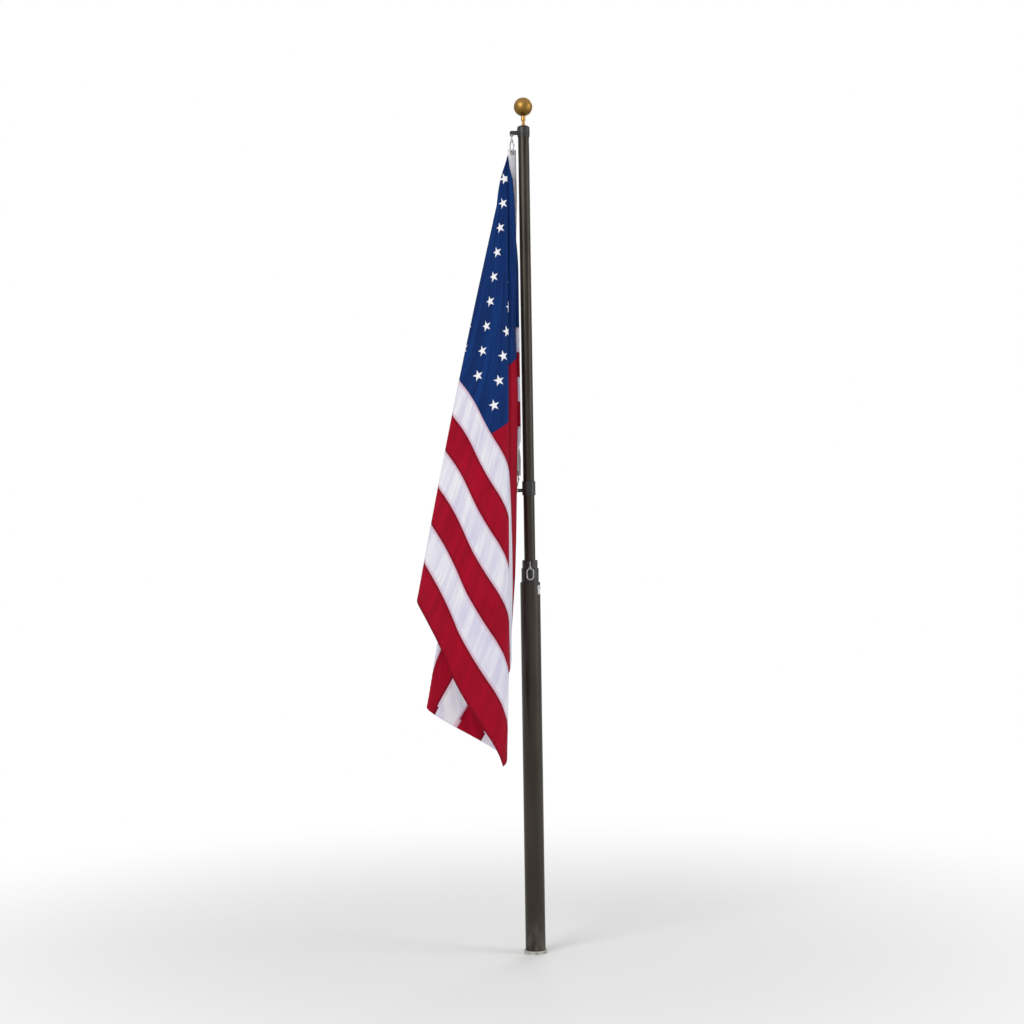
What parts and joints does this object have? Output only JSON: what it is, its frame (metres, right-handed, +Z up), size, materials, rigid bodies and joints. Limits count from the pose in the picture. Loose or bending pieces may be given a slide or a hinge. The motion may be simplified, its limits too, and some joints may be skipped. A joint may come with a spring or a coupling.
{
  "type": "telescoping flagpole",
  "caption": "Telescoping garden flagpole with nested tubes, ball finial, swivel harness with snap hooks and a limp national flag.",
  "frame": {"origin": "centre of the pole's flat foot, on the pole's axis at ground level", "axes": "+Z up the pole, -X towards the flag and the harness arm, -Y towards the viewer of the picture"},
  "size_m": [0.3501, 0.3077, 2.4437],
  "materials": {
    "pale_sleeve": "weathered pale plastic with soil marks",
    "charcoal_trim": "satin moulded nylon",
    "bronze_tube": "dark bronze anodised, satin",
    "bright_steel": "cast and polished, slightly dull",
    "brass_fitting": "satin, slightly tarnished",
    "gold_ball": "gold anodised, polished",
    "canvas_heading": "white duck canvas, stitched",
    "flag_navy": "navy woven nylon with embroidered white stars",
    "flag_red": "red woven nylon, lock-stitched",
    "flag_white": "white woven nylon, lock-stitched"
  },
  "bodies": {
    "pole_base": {"ground_sleeve": "pale_sleeve", "base_plug": "charcoal_trim", "base_tube": "bronze_tube", "base_collar": "charcoal_trim", "base_lock_button": "bright_steel"},
    "lower_section": {"lower_tube": "bronze_tube", "lower_collar": "charcoal_trim"},
    "middle_section": {"middle_tube": "bronze_tube", "middle_collar": "charcoal_trim", "spare_eye": "bright_steel"},
    "spare_hook": {"spare_snap_eye": "bright_steel", "spare_snap_body": "bright_steel", "spare_snap_gate": "bright_steel"},
    "top_section": {"top_tube": "bronze_tube", "top_cap": "charcoal_trim", "finial_stem": "brass_fitting", "finial_ball": "gold_ball"},
    "harness": {"swivel_collar": "charcoal_trim", "top_snap_eye": "bright_steel", "top_snap_body": "bright_steel", "top_snap_gate": "bright_steel", "top_grommet": "brass_fitting", "lower_ring": "charcoal_trim", "lower_snap_eye": "bright_steel", "lower_snap_body": "bright_steel", "lower_snap_gate": "bright_steel", "bottom_grommet": "brass_fitting", "flag_corner": "flag_navy", "flag_header": "canvas_heading", "flag_canton": "flag_navy", "flag_red_stripes": "flag_red", "flag_white_stripes": "flag_white"}
  },
  "joints": [
    {"name": "lower_slide", "type": "slide", "parent": "pole_base", "child": "lower_section", "axis": [0, 0, 1], "range_m": [0, 0.85]},
    {"name": "middle_slide", "type": "slide", "parent": "lower_section", "child": "middle_section", "axis": [0, 0, 1], "range_m": [0, 0.85]},
    {"name": "top_slide", "type": "slide", "parent": "middle_section", "child": "top_section", "axis": [0, 0, 1], "range_m": [-0.175, 0]},
    {"name": "flag_swivel", "type": "hinge", "parent": "top_section", "child": "harness", "pos_m": [0, 0, 2.335], "axis": [0, 0, 1], "continuous": true},
    {"name": "spare_hook_swing", "type": "hinge", "parent": "middle_section", "child": "spare_hook", "pos_m": [0, -0.03285, 1.117], "axis": [1, 0, 0], "range_deg": [-80, 0]}
  ]
}
